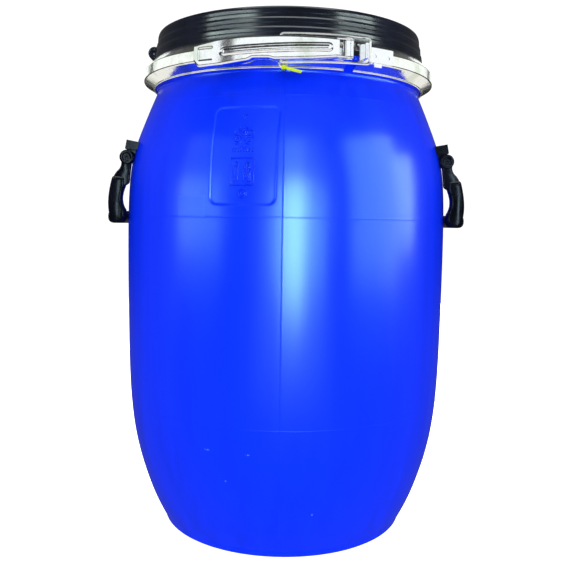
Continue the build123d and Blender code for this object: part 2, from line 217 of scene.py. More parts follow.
# ---- materials ----------------------------------------------------------------------------
def material(name, color, roughness, metallic=0.0, specular=0.5):
    """A Principled material and its node tree, ready for more nodes."""
    made = bpy.data.materials.new(name)
    made.use_nodes = True
    shader = made.node_tree.nodes["Principled BSDF"]
    shader.inputs["Base Color"].default_value = (*color, 1.0)
    shader.inputs["Roughness"].default_value = roughness
    shader.inputs["Metallic"].default_value = metallic
    shader.inputs["Specular IOR Level"].default_value = specular
    return made, made.node_tree, shader


def noise_node(tree, scale, detail=3.0, stretch=(1, 1, 1)):
    """Noise in object space, in cycles per metre, stretched along the axes."""
    place = tree.nodes.new("ShaderNodeTexCoord")
    mapping = tree.nodes.new("ShaderNodeMapping")
    mapping.inputs["Scale"].default_value = stretch
    texture = tree.nodes.new("ShaderNodeTexNoise")
    texture.inputs["Scale"].default_value = scale
    texture.inputs["Detail"].default_value = detail
    tree.links.new(place.outputs["Object"], mapping.inputs["Vector"])
    tree.links.new(mapping.outputs["Vector"], texture.inputs["Vector"])
    return texture.outputs["Fac"]


def ramp(tree, source, low, high, bottom=0.3, top=0.7):
    """Maps a value between bottom and top to a colour between low and high."""
    node = tree.nodes.new("ShaderNodeValToRGB")
    node.color_ramp.elements[0].position = bottom
    node.color_ramp.elements[1].position = top
    node.color_ramp.elements[0].color = (*low, 1.0)
    node.color_ramp.elements[1].color = (*high, 1.0)
    tree.links.new(source, node.inputs["Fac"])
    return node.outputs["Color"]


def bump(tree, shader, heights):
    """Adds bump from (source, distance) pairs, one after another."""
    normal = None
    for source, distance in heights:
        node = tree.nodes.new("ShaderNodeBump")
        node.inputs["Distance"].default_value = distance
        node.inputs["Strength"].default_value = 1.0
        tree.links.new(source, node.inputs["Height"])
        if normal is not None:
            tree.links.new(normal, node.inputs["Normal"])
        normal = node.outputs["Normal"]
    tree.links.new(normal, shader.inputs["Normal"])


def grey(value):
    """A grey colour."""
    return (value, value, value)


def math(tree, operation, first, second=0.0, third=0.0):
    """One arithmetic node; each input is a number or another node's output."""
    node = tree.nodes.new("ShaderNodeMath")
    node.operation = operation
    for index, value in enumerate((first, second, third)):
        if isinstance(value, (int, float)):
            node.inputs[index].default_value = value
        else:
            tree.links.new(value, node.inputs[index])
    return node.outputs[0]


def window(tree, value, low, high, soft):
    """One between low and high, falling to zero outside over a soft distance."""
    middle, half = (low + high) / 2, (high - low) / 2
    off = math(tree, "ABSOLUTE", math(tree, "SUBTRACT", value, middle))
    edge = math(tree, "DIVIDE", math(tree, "SUBTRACT", half, off), soft)
    return math(tree, "MINIMUM", math(tree, "MAXIMUM", edge, 0.0), 1.0)


def azimuth_and_height(tree):
    """The azimuth in degrees and the height in metres of the shaded point."""
    place = tree.nodes.new("ShaderNodeTexCoord")
    split = tree.nodes.new("ShaderNodeSeparateXYZ")
    tree.links.new(place.outputs["Object"], split.inputs[0])
    x, y, z = split.outputs
    turn = math(tree, "ARCTAN2", x, math(tree, "MULTIPLY", y, -1.0))
    return math(tree, "MULTIPLY", turn, 180 / pi), z


def mixed(tree, amount, first, second):
    """A colour between two colours; each is a colour or another node's output."""
    node = tree.nodes.new("ShaderNodeMix")
    node.data_type = "RGBA"
    tree.links.new(amount, node.inputs[0])
    for index, value in ((6, first), (7, second)):
        if isinstance(value, tuple):
            node.inputs[index].default_value = (*value, 1.0)
        else:
            tree.links.new(value, node.inputs[index])
    return node.outputs[2]


BODY_BLUE, BODY_SHEEN = (0.0005, 0.0215, 0.80), (0.38, 0.90, 1.0, 1.0)
GHOST_BLUE, SCUFF_BLUE = (0.05, 0.20, 1.0), (0.20, 0.45, 1.0)
BLACK_SHEEN = (0.80, 0.92, 1.0, 1.0)
# the azimuths and heights between which a removed label has left the skin duller
GHOST_AZIMUTH, GHOST_Z = (-35.6, -25.0), (0.381, 0.405)
# azimuth and height of each scuff, and its half width in degrees and half height in metres
SCUFFS = [(-25.0, 0.1335, 1.1, 0.0011), (-11.0, 0.1325, 0.9, 0.0009),
          (-19.0, 0.0995, 0.35, 0.0012), (11.0, 0.0620, 0.4, 0.0016)]


def scuff_mask(tree, azimuth, height):
    """One where the skin is scuffed, broken up by a fine noise."""
    mask = None
    for middle, z, half_width, half_height in SCUFFS:
        across = window(tree, azimuth, middle - half_width, middle + half_width, half_width * 0.8)
        along = window(tree, height, z - half_height, z + half_height, half_height * 0.9)
        patch = math(tree, "MULTIPLY", across, along)
        mask = patch if mask is None else math(tree, "ADD", mask, patch)
    scratch = noise_node(tree, 260.0, 3.0, (1, 1, 0.35))
    return math(tree, "MULTIPLY", mask, math(tree, "GREATER_THAN", scratch, 0.47))


def ghost_mask(tree, azimuth, height):
    """Slightly above zero inside the rectangle that a removed label has left."""
    across = window(tree, azimuth, *GHOST_AZIMUTH, 0.25)
    along = window(tree, height, *GHOST_Z, 0.0006)
    return math(tree, "MULTIPLY", math(tree, "MULTIPLY", across, along), 0.05)


def blue_plastic(name, shade, specular):
    """Blow-moulded polyethylene: saturated satin blue with flow streaks, a label ghost and scuffs; a shade
    below one darkens it as painted shade.
    """
    made, tree, shader = material(name, BODY_BLUE, 0.40, specular=specular)
    shader.inputs["Specular Tint"].default_value = BODY_SHEEN
    streaks = noise_node(tree, 55.0, 4.0, (1, 1, 0.05))
    clouds = noise_node(tree, 9.0, 3.0)
    grain = noise_node(tree, 700.0, 2.0)
    azimuth, height = azimuth_and_height(tree)
    ghost = ghost_mask(tree, azimuth, height)
    broken = scuff_mask(tree, azimuth, height)
    # a shade below one darkens the whole blue: painted shade
    dark, light = [tuple(v * shade * tone for v in BODY_BLUE) for tone in (0.93, 1.07)]
    base = ramp(tree, streaks, dark, light)
    base = mixed(tree, ghost, base, GHOST_BLUE)
    base = mixed(tree, math(tree, "MULTIPLY", broken, 0.45), base, SCUFF_BLUE)
    tree.links.new(base, shader.inputs["Base Color"])
    uneven = math(tree, "MULTIPLY_ADD", streaks, 0.05, 0.19)
    uneven = math(tree, "ADD", uneven, math(tree, "MULTIPLY", clouds, 0.05))
    tree.links.new(math(tree, "ADD", uneven, ghost), shader.inputs["Roughness"])
    bump(tree, shader, [(streaks, 0.00010), (grain, 0.000015)])
    return made


def black_plastic(name, tone, roughness, grain_scale, specular):
    """Moulded plastic: black with a fine grain, slightly lighter, duller patches, and a blue cast that is a
    painted reflection.
    """
    made, tree, shader = material(name, grey(tone), roughness, specular=specular)
    shader.inputs["Specular Tint"].default_value = BLACK_SHEEN
    patches = noise_node(tree, 26.0, 5.0)
    grain = noise_node(tree, grain_scale, 2.0)
    # the blue that both ends of this ramp carry is a painted bluish reflection; the lighter patches are random
    # tone
    dark, light = (tone * 0.8, tone, tone * 1.7), (tone * 1.5, tone * 2.0, tone * 4.5)
    tree.links.new(ramp(tree, patches, dark, light), shader.inputs["Base Color"])
    gloss = ramp(tree, patches, grey(roughness - 0.06), grey(roughness + 0.07))
    tree.links.new(gloss, shader.inputs["Roughness"])
    bump(tree, shader, [(grain, 0.00002)])
    return made


def steel(name, color, roughness, stretch=(1, 1, 10), waves_height=0.0004):
    """Bright galvanised steel: faint spangle, drawn lines, dull stains and small dents in the shine."""
    made, tree, shader = material(name, color, roughness, metallic=1.0)
    cells = tree.nodes.new("ShaderNodeTexVoronoi")
    cells.inputs["Scale"].default_value = 230.0
    place = tree.nodes.new("ShaderNodeTexCoord")
    tree.links.new(place.outputs["Object"], cells.inputs["Vector"])
    lines = noise_node(tree, 420.0, 2.0, stretch)
    waves = noise_node(tree, 60.0, 2.0)
    stains = noise_node(tree, 35.0, 4.0)
    dull = (color[0] * 0.70, color[1] * 0.76, color[2] * 0.64)
    shade = ramp(tree, cells.outputs["Color"], tuple(v * 0.95 for v in color), color, 0.1, 0.9)
    stain = math(tree, "MULTIPLY", window(tree, stains, 0.52, 0.9, 0.10), 0.75)
    tree.links.new(mixed(tree, stain, shade, dull), shader.inputs["Base Color"])
    gloss = ramp(tree, lines, grey(roughness - 0.05), grey(roughness + 0.08))
    tree.links.new(gloss, shader.inputs["Roughness"])
    bump(tree, shader, [(waves, waves_height), (lines, 0.00002)])
    return made


def seal_plastic():
    """Soft yellow-green plastic."""
    made, tree, shader = material("seal_plastic", (0.45, 0.62, 0.005), 0.40, specular=0.12)
    shade = noise_node(tree, 300.0, 2.0)
    tree.links.new(ramp(tree, shade, (0.36, 0.52, 0.003), (0.55, 0.70, 0.006)), shader.inputs["Base Color"])
    bump(tree, shader, [(shade, 0.00005)])
    return made


def rubber():
    """Dark sealing rubber."""
    made, tree, shader = material("rubber", grey(0.03), 0.75)
    shade = noise_node(tree, 700.0, 3.0)
    tree.links.new(ramp(tree, shade, grey(0.02), grey(0.045)), shader.inputs["Base Color"])
    bump(tree, shader, [(shade, 0.0001)])
    return made


BLUE = blue_plastic("blue_plastic", 1.0, 0.22)
# the marks' blue is darkened to 0.74 of the body's: painted shade standing for the shade in and beside their
# low relief
SHADED_MARK_BLUE = blue_plastic("mark_blue_painted_shade", 0.74, 0.15)
BLACK = black_plastic("black_plastic", 0.0045, 0.20, 1400.0, 0.28)
HANDLE_BLACK = black_plastic("handle_black", 0.0020, 0.15, 1000.0, 0.16)
RING_STEEL = steel("ring_steel", (0.90, 0.91, 0.88), 0.13, waves_height=0.0005)
LATCH_STEEL = steel("latch_steel", (0.87, 0.89, 0.93), 0.11, (1, 1, 6), 0.00010)
PIN_STEEL = steel("pin_steel", (0.92, 0.93, 0.94), 0.16, (1, 1, 1))
SEAL = seal_plastic()
RUBBER = rubber()

# ---- drum body ----------------------------------------------------------------------------
SIDE = mm([
    (151.6, 8.6), (162.5, 30.0), (174.3, 60.0), (188.0, 110.0), (195.2, 170.0), (197.4, 240.0),
    (198.0, 320.0), (197.7, 380.0), (196.6, 412.0), (193.6, 442.0), (188.1, 467.0),
    (179.4, 491.0), (169.7, 515.0), (160.6, 536.0),
])
PARTING_AZIMUTH = -0.8
UPPER_SEAM, LOWER_SEAM, NECK_SEAM = 382.5 * MM, 159.8 * MM, 510.0 * MM
WALL = 3.2 * MM


def natural_spline(xs, ys):
    """A function that runs smoothly through the points, with no bend at its two ends."""
    xs, ys = np.array(xs), np.array(ys)
    count = len(xs)
    step = np.diff(xs)
    matrix = np.eye(count)
    right = np.zeros(count)
    for index in range(1, count - 1):
        matrix[index, index - 1] = step[index - 1]
        matrix[index, index] = 2 * (step[index - 1] + step[index])
        matrix[index, index + 1] = step[index]
        rise_after = (ys[index + 1] - ys[index]) / step[index]
        rise_before = (ys[index] - ys[index - 1]) / step[index - 1]
        right[index] = 6 * (rise_after - rise_before)
    bend = np.linalg.solve(matrix, right)

    def value(x):
        index = int(np.clip(np.searchsorted(xs, x) - 1, 0, count - 2))
        width = step[index]
        left, into = (xs[index + 1] - x), (x - xs[index])
        curve = bend[index] * left ** 3 + bend[index + 1] * into ** 3
        curve /= 6 * width
        curve += (ys[index] / width - bend[index] * width / 6) * left
        return float(curve + (ys[index + 1] / width - bend[index + 1] * width / 6) * into)
    return value


SKIN_INSET = 0.26 * MM
side_radius = natural_spline([z for r, z in SIDE], [r - SKIN_INSET for r, z in SIDE])


def ridge(offset, half_width, height):
    """The height of a small rounded ridge at an offset from its middle."""
    return height * exp(-(offset / half_width) ** 2)


PANEL_MIDDLE, PANEL_HALF_WIDTH, PANEL_Z = -13.4, 36.3 * MM, (394.0 * MM, 497.0 * MM)
PANEL_DEPTH, PANEL_SLOPE, PANEL_CORNER = 1.4 * MM, 2.2 * MM, 9.0 * MM
PANEL_REACH = 12.2


def panel_edge(azimuth, z):
    """The distance from a point outside the sunk panel's outline, negative inside it."""
    dx = abs(radians(azimuth - PANEL_MIDDLE) * side_radius(z)) - PANEL_HALF_WIDTH + PANEL_CORNER
    dz = abs(z - (PANEL_Z[0] + PANEL_Z[1]) / 2) - (PANEL_Z[1] - PANEL_Z[0]) / 2 + PANEL_CORNER
    return min(max(dx, dz), 0.0) + hypot(max(dx, 0.0), max(dz, 0.0)) - PANEL_CORNER


def smooth(t):
    """A smooth step from 0 to 1."""
    t = min(max(t, 0.0), 1.0)
    return t * t * (3 - 2 * t)


def side_relief(azimuth, z):
    """How far the body's skin stands off its plain side: mould lines, seams and the sunk panel."""
    arc = radians((azimuth - PARTING_AZIMUTH + 90) % 180 - 90) * BELLY
    relief = ridge(arc, 0.45 * MM, 0.25 * MM)
    relief += ridge(z - UPPER_SEAM, 0.5 * MM, 0.14 * MM)
    relief += ridge(z - LOWER_SEAM, 0.5 * MM, 0.14 * MM)
    relief += ridge(z - NECK_SEAM, 0.5 * MM, 0.10 * MM)
    if abs(z - sum(PANEL_Z) / 2) < 60 * MM and -32.0 < azimuth < 2.0:
        fade = 1.0 - 0.40 * smooth((z - 472 * MM) / (22 * MM))
        relief -= PANEL_DEPTH * fade * smooth(-panel_edge(azimuth, z) / PANEL_SLOPE)
    return relief


def fine_rows(low, high, count, lines, near):
    """Evenly spaced values with a few more close to each line."""
    values = set(np.linspace(low, high, count))
    for line in lines:
        values = {v for v in values if abs(v - line) > near[-1] * 1.3}
        values |= {line} | {line + sign * step for step in near for sign in (1, -1)}
    return sorted(v for v in values if low <= v <= high)


def drum_body():
    """The blown shell, outside and inside, with its bead, rim and recessed base."""
    near_z = [0.35 * MM, 0.8 * MM, 1.6 * MM]
    rows = set(fine_rows(SIDE[0][1], SIDE[-1][1], 130, [UPPER_SEAM, LOWER_SEAM, NECK_SEAM], near_z))
    panel_low, panel_high = PANEL_Z[0] - 2 * MM, PANEL_Z[1] + 2 * MM
    rows = {z for z in rows if not panel_low < z < panel_high}
    rows = sorted(rows | set(np.linspace(panel_low, panel_high, 100)))
    near_azimuth = [0.1, 0.22, 0.45]
    lines = [PARTING_AZIMUTH + 180 * side for side in (0, 1)]
    azimuths = set(fine_rows(-100.0, 260.0, 241, lines, near_azimuth)[:-1])
    panel_left, panel_right = PANEL_MIDDLE - PANEL_REACH, PANEL_MIDDLE + PANEL_REACH
    azimuths = {a for a in azimuths if not panel_left < a < panel_right}
    azimuths = sorted(azimuths | set(np.linspace(panel_left, panel_right, 92)))
    bead_low, bead_high = 546.4 * MM, 551.8 * MM
    bead = rounded([
        (162.3 * MM, 538.0 * MM, 0.0), (177.1 * MM, bead_low, 2.0 * MM), (177.1 * MM, bead_high, 1.0 * MM),
        (162.2 * MM, bead_high, 1.0 * MM), (162.2 * MM, BODY_TOP, 1.2 * MM),
        (157.8 * MM, BODY_TOP, 1.2 * MM), (157.6 * MM, 540.0 * MM, 0.0),
    ])
    inner_rows = np.linspace(SIDE[-1][1], SIDE[0][1], 60)
    inside = [(side_radius(z) - WALL, z) for z in inner_rows]
    inside += mm([(143.0, 6.9), (136.0, 6.0), (114.0, 4.6), (106.0, 8.2)])
    foot = [(105.0 * MM, 5.0 * MM), (109.0 * MM, 3.4 * MM), (112.0 * MM, 0.4 * MM), (113.4 * MM, 0.0),
            (136.0 * MM, 0.0)]
    heel = [((136.0 + 15.6 * sin(t)) * MM, (8.6 - 8.6 * cos(t)) * MM) for t in np.linspace(0.15, 1.42, 9)]
    outline = foot + heel + [(None, z) for z in rows] + bead + inside
    count = len(outline)
    vertices = []
    for azimuth in azimuths:
        for radius, z in outline:
            if radius is None:
                radius = side_radius(z) + side_relief(azimuth, z)
            vertices.append(spot(azimuth, radius, z))
    total = len(azimuths)
    faces = []
    for index in range(total):
        a, b = index * count, ((index + 1) % total) * count
        faces += [(a + row, b + row, b + row + 1, a + row + 1) for row in range(count - 1)]
    for height, row in ((5.0 * MM, 0), (8.2 * MM, count - 1)):
        centre = len(vertices)
        vertices.append(Vector((0, 0, height)))
        rim = [index * count + row for index in range(total)]
        faces += [(centre, here, after) for here, after in zip(rim, rim[1:] + rim[:1])]
    shell = new_object("drum_shell", vertices, faces)
    merge(shell)
    return shell


shell = drum_body()
finish_piece(shell, "drum", BLUE, ["drum_body"])


def on_side(x, z):
    """A point on the panel's floor, x along the arc from its middle and z above its lower edge."""
    height = PANEL_Z[0] + z
    azimuth = PANEL_MIDDLE + degrees(x / side_radius(height))
    return spot(azimuth, side_radius(height) + side_relief(azimuth, height), height)


MARK_RADIUS = 0.85 * MM


def panel_marks():
    """Plain low-relief marks: a pip, a rosette of rings, strokes, framed bars and a double ring."""
    def ring(x, z, radius, turns=1.0, start=0.0):
        x, z, radius = x * MM, z * MM, radius * MM
        steps = max(10, int(28 * turns))
        angles = [start + 2 * pi * turns * step / steps for step in range(steps + (turns < 1.0))]
        return [on_side(x + radius * cos(a), z + radius * sin(a)) for a in angles], turns >= 1.0

    def line(x1, z1, x2, z2):
        x1, z1, x2, z2 = x1 * MM, z1 * MM, x2 * MM, z2 * MM
        steps = max(2, int(hypot(x2 - x1, z2 - z1) / (2 * MM)))
        run_x, run_z = (x2 - x1) / steps, (z2 - z1) / steps
        return [on_side(x1 + run_x * k, z1 + run_z * k) for k in range(steps + 1)], False

    drawn = [ring(-2.6, 91.8, 1.7), line(-0.2, 93.6, 1.2, 91.0)]
    middle_x, middle_z = -1.1, 70.8
    for index in range(3):
        turn = pi / 2 + index * 2 * pi / 3
        x, z = middle_x + 7.4 * cos(turn), middle_z + 6.4 * sin(turn)
        drawn += [ring(x, z, 4.6, 0.80, turn + 0.6), ring(x, z, 2.2)]
        x, z = middle_x + 9.0 * cos(turn + pi / 3), middle_z + 8.0 * sin(turn + pi / 3)
        drawn += [ring(x, z, 2.6, 0.45, turn)]
    drawn += [line(x, 54.6, x, 58.6) for x in (-11.0 + 3.0 * index for index in range(8))]
    half, low, high = 12.9, 20.8, 48.6
    drawn += [line(-half, z, half, z) for z in (low, high)]
    drawn += [line(x, low, x, high) for x in (1.0 - half, half - 1.0)]
    bars = ((-8.2, 24, 40), (-5.0, 24, 44), (1.4, 24, 38), (3.8, 27, 44), (6.2, 24, 42), (8.4, 24, 37))
    drawn += [line(x, base, x, top) for x, base, top in bars]
    drawn += [ring(-6.4, 42.2, 2.0), ring(5.0, 40.6, 3.4)]
    drawn += [line(-9.4, 30, -4.0, 30), line(1.0, 32, 8.8, 32)]
    drawn += [ring(0.4, 12.2, 4.4), ring(0.4, 12.2, 2.3)]
    parts = [tube(f"mark_{index}", path, MARK_RADIUS, closed, 8) for index, (path, closed) in enumerate(drawn)]
    return joined(parts, "panel_marks")


def joined(parts, name):
    """Several meshes made into one object."""
    vertices, faces = [], []
    for part in parts:
        start = len(vertices)
        vertices += [vertex.co.copy() for vertex in part.data.vertices]
        faces += [tuple(start + index for index in polygon.vertices) for polygon in part.data.polygons]
        mesh = part.data
        bpy.data.objects.remove(part)
        bpy.data.meshes.remove(mesh)
    return new_object(name, vertices, faces)


# the marks take the darker blue: painted shade
finish_piece(panel_marks(), "drum", SHADED_MARK_BLUE)


# ---- lid ----------------------------------------------------------------------------------
LID_FLOOR = 567.2


def lid_step(radius, z):
    """The thin ridge that runs round the middle of each step of the lid's wall."""
    return [(radius, z, 0.3), (radius + 0.12, z + 0.5, 0.3), (radius - 0.1, z + 1.0, 0.3)]


def lid_shell():
    """Outer wall with its steps, top edge, recess, plug skirt and gasket channel."""
    under, floor, top = 564.0, LID_FLOOR, LID_TOP / MM
    wall = [(177.1, 551.9, 0.5), (177.1, 556.85, 1.5), (166.6, 566.9, 1.2), (165.9, 571.0, 3.0)]
    wall += lid_step(165.6, 573.6) + [(165.1, 579.0, 1.0), (163.6, 580.3, 1.3)]
    wall += lid_step(163.5, 584.2) + [(163.3, 589.0, 1.0), (161.9, 590.3, 1.3)]
    wall += lid_step(161.7, 594.2) + [(161.5, 599.0, 2.5), (160.2, top, 1.6), (158.5, top, 1.2)]
    recess = [(158.1, 600.0, 1.5), (158.6, 591.6, 1.0), (160.0, 589.6, 1.0), (160.2, 581.6, 1.0),
              (161.4, 579.6, 1.0), (161.7, floor + 0.3, 3.0)]
    recess += [(radius, floor, 0.0) for radius in (140.0, 120.0, 80.0, 40.0, 0.02)]
    below = [(0.02, under, 0.0), (152.4, under, 1.0), (152.8, 542.0, 0.8), (155.2, 542.0, 0.8),
             (156.2, under, 0.6), (163.2, under, 0.6), (163.2, 551.9, 0.5)]
    corners = [tuple(value * MM for value in corner) for corner in wall + recess + below]
    return lathe("lid_shell", rounded(corners, 6), 320)


def prism(name, outline, low, high):
    """A solid between two heights from a closed outline of (x, y) points."""
    count = len(outline)
    vertices = [(x, y, low) for x, y in outline] + [(x, y, high) for x, y in outline]
    faces = [tuple(range(count))[::-1], tuple(range(count, 2 * count))]
    faces += [(i, (i + 1) % count, count + (i + 1) % count, count + i) for i in range(count)]
    return new_object(name, vertices, faces)


def lid_ribs():
    """Radial ribs and two hoops that stiffen the lid's floor."""
    parts = []
    low, high = (LID_FLOOR - 0.5) * MM, (LID_FLOOR + 3.0) * MM
    for index in range(12):
        turn = Matrix.Rotation(radians(30 * index), 2)
        flat = [(47.5, -1.2), (141.5, -1.2), (141.5, 1.2), (47.5, 1.2)]
        outline = [tuple(turn @ Vector((x * MM, y * MM))) for x, y in flat]
        parts.append(prism("rib", outline, low, high))
    for inner, outer in ((46.0, 49.0), (140.0, 143.0)):
        outline = rounded([(inner * MM, low, 0), (outer * MM, low, 0), (outer * MM, high, 0.8 * MM),
                           (inner * MM, high, 0.8 * MM)])
        parts.append(lathe("hoop", outline, 200))
    return joined(parts, "lid_ribs")


def lid_lug():
    """A round-ended thumb lug on the lid's left side, with a groove round it."""
    profile = rounded([
        (0.02, 0, 0), (7.2, 0, 1.6), (8.0, 2.6, 1.0), (8.0, 7.4, 0.8), (7.1, 8.2, 0.6), (7.1, 9.8, 0.6),
        (8.0, 10.6, 0.8), (8.0, 15.4, 1.0), (7.2, 18.0, 1.6), (0.02, 18.0, 0),
    ], 4)
    lug = lathe("lid_lug", mm(profile), 48)
    place = Matrix.Translation((-165.8 * MM, 1.0 * MM, 584.5 * MM)) @ Matrix.Rotation(radians(90), 4, "X")
    lug.data.transform(place)
    return lug


cover = lid_shell()
crisp(cover)
finish_piece(cover, "drum", BLACK, ["lid"])
ribs = lid_ribs()
bevel(ribs, 0.5 * MM, 2)
finish_piece(ribs, "drum", BLACK)
finish_piece(lid_lug(), "drum", BLACK)

# ---- closing ring -------------------------------------------------------------------------
RING_START, RING_SWEEP = 24.3, 356.4


def ring_band():
    """Rolled hoop of bent sheet with a curled lower lip, open over a short gap."""
    sheet = 1.2
    middle = rounded([
        (166.2, 539.1, 0.0), (178.0, 545.8, 1.3), (178.0, 557.3, 1.3), (166.4, 568.0, 0.0),
    ], 8)
    outside, inside = [], []
    for index, (x, y) in enumerate(middle):
        ahead = middle[min(index + 1, len(middle) - 1)]
        behind = middle[max(index - 1, 0)]
        run = Vector((ahead[0] - behind[0], ahead[1] - behind[1])).normalized()
        outside.append(((x + run.y * sheet / 2) * MM, (y - run.x * sheet / 2) * MM))
        inside.append(((x - run.y * sheet / 2) * MM, (y + run.x * sheet / 2) * MM))
    return lathe("ring_band", outside + inside[::-1], 300, RING_START, RING_SWEEP)


def ring_lip():
    """The rolled edge at the ring's lower rim."""
    path = [spot(RING_START + RING_SWEEP * step / 260, 165.8 * MM, 538.3 * MM) for step in range(261)]
    return tube("ring_lip", path, 1.3 * MM)


band = ring_band()
crisp(band)
finish_piece(band, "drum", RING_STEEL, ["locking_ring"])
finish_piece(ring_lip(), "drum", RING_STEEL)

# ---- latch lever --------------------------------------------------------------------------
FACE, FLANGE = 194.2, 182.0
UPPER_EDGE = [(-30.7, 542.8, 0), (-30.4, 558.2, 2.6), (-22.0, 562.3, 3), (-14.0, 563.8, 3), (-1.0, 564.2, 3),
              (8.0, 564.0, 3), (15.5, 563.6, 0)]
LOWER_EDGE = [(-30.7, 542.8, 0), (-28.8, 535.4, 2.6), (-20.9, 536.0, 3), (-12.3, 539.2, 1.6),
              (-10.7, 541.6, 1.2), (-5.8, 541.4, 1.2), (-4.2, 539.8, 1.2), (1.0, 540.2, 3),
              (8.0, 541.6, 3), (15.5, 544.4, 0)]
EDGE_ROLL = 2.6
RIB_ENDS, RIB_RADIUS, RIB_HEIGHT, RIB_GROOVE = (Vector((-66.3, 549.4)), Vector((41.3, 553.8))), 4.3, 1.15, 0.45
POCKET_MIDDLE, POCKET_HALF, POCKET_CORNER, POCKET_DEPTH = (-88.0, 548.4), (9.5, 7.2), 2.0, 0.9
BUTTON_MIDDLE, BUTTON_SIZE, BUTTON_HEIGHT = (-70.5, 549.2), (1.6, 2.4), 0.6
FULCRUM_AZIMUTH, FULCRUM_RADIUS, KNUCKLE = 18.9, 188.1, 6.1
EARS = ((544.4, 546.0), (562.0, 563.6))


def open_rounded(points, steps=5):
    """A run of (azimuth, z, radius) corners as (arc, z) points in mm, with its corners rounded."""
    flat = [(radians(azimuth) * FACE, z, radius) for azimuth, z, radius in points]
    return rounded(flat, steps)


def edge_distance(chains, x, z):
    """The distance from (x, z) to the nearest of several runs of points."""
    best = 1e9
    here = np.array((x, z))
    for starts, runs, squares in chains:
        t = np.clip(((here - starts) * runs).sum(1) / squares, 0, 1)
        best = min(best, float(np.hypot(*(starts + runs * t[:, None] - here).T).min()))
    return best


def chain_of(points):
    """Starts, runs and squared lengths of the runs between points, for edge_distance."""
    points = np.array(points)
    runs = np.diff(points, axis=0)
    return points[:-1], runs, (runs ** 2).sum(1)


def lever_relief(x, z, distance):
    """How far the lever's face stands off its plain radius, in mm."""
    drop = 0.0
    if distance < EDGE_ROLL:
        drop = EDGE_ROLL - (EDGE_ROLL ** 2 - (EDGE_ROLL - distance) ** 2) ** 0.5
    start, stop = RIB_ENDS
    run = stop - start
    t = min(max((Vector((x, z)) - start).dot(run) / run.length_squared, 0.0), 1.0)
    off_rib = (Vector((x, z)) - start - run * t).length
    rib = RIB_HEIGHT * smooth((RIB_RADIUS - off_rib) / 1.5)
    rib -= RIB_GROOVE * exp(-(off_rib / 1.5) ** 2) * (0 < t < 1)
    beyond = [max(abs(value - middle) - half + POCKET_CORNER, 0)
              for value, middle, half in zip((x, z), POCKET_MIDDLE, POCKET_HALF)]
    pocket = POCKET_DEPTH * smooth((POCKET_CORNER - hypot(*beyond)) / 2.4)
    squares = [((value - middle) / size) ** 2
               for value, middle, size in zip((x, z), BUTTON_MIDDLE, BUTTON_SIZE)]
    button = BUTTON_HEIGHT * exp(-sum(squares))
    return max(rib, button) - pocket - drop


def lever_sheet():
    """The lever's pressed face with rolled edges, an oval rib and a thumb pocket."""
    top, low = open_rounded(UPPER_EDGE), open_rounded(LOWER_EDGE)
    chains = [chain_of(top), chain_of(low)]
    first, last = top[0][0], top[-1][0]
    xs = list(first + 5.0 * np.linspace(0, 1, 26) ** 1.6) + list(np.linspace(first + 5.6, last, 230))
    across = 46
    vertices, rows = [], across + 1 + 6
    for x in xs:
        z_top = float(np.interp(x, *zip(*top)))
        z_low = float(np.interp(x, *zip(*low)))
        azimuth = degrees(x / FACE)
        half = (z_top - z_low) / 2
        column = []
        for k in range(across + 1):
            z = (z_top + z_low) / 2 - half * cos(pi * k / across)
            radius = FACE + lever_relief(x, z, edge_distance(chains, x, z))
            column.append((radius, z))
        depths = (FLANGE, FLANGE + 4, FLANGE + 8)
        column = [(r, z_low) for r in depths] + column + [(r, z_top) for r in depths[::-1]]
        vertices += [spot(azimuth, r * MM, z * MM) for r, z in column]
    faces = []
    for index in range(len(xs) - 1):
        a, b = index * rows, (index + 1) * rows
        faces += [(a + row, b + row, b + row + 1, a + row + 1) for row in range(rows - 1)]
    sheet = new_object("lever_sheet", vertices, faces)
    thick = sheet.modifiers.new("sheet", "SOLIDIFY")
    thick.thickness = 1.3 * MM
    thick.offset = -1.0
    return sheet


def lever_ears():
    """Two rounded ears that hold the pivot pin."""
    inner = [spot(a, FLANGE * MM) for a in np.linspace(14.6, FULCRUM_AZIMUTH, 8)]
    outer = [spot(a, FACE * MM) for a in np.linspace(FULCRUM_AZIMUTH, 14.6, 8)]
    middle = spot(FULCRUM_AZIMUTH, FULCRUM_RADIUS * MM)
    tip = []
    for k in range(1, 14):
        away = Vector((sin(pi * k / 14), cos(pi * k / 14), 0))
        tip.append(middle + Matrix.Rotation(radians(FULCRUM_AZIMUTH), 3, "Z") @ away * KNUCKLE * MM)
    outline = [(p.x, p.y) for p in inner + tip + outer]
    parts = [prism("ear", outline, low * MM, high * MM) for low, high in EARS]
    return joined(parts, "lever_ears")


sheet = lever_sheet()
finish_piece(sheet, "lever", LATCH_STEEL, ["latch_lever"])
ears = lever_ears()
for polygon in ears.data.polygons:
    polygon.use_smooth = False
bevel(ears, 0.5 * MM)
finish_piece(ears, "lever", LATCH_STEEL)

# ---- latch link ---------------------------------------------------------------------------
LINK_RADIUS, LINK_AZIMUTHS = 190.0, (-2.4, 26.3)
LINK_LEFT_Z, LINK_RIGHT_Z = (537.6, 566.6), (541.2, 567.4)


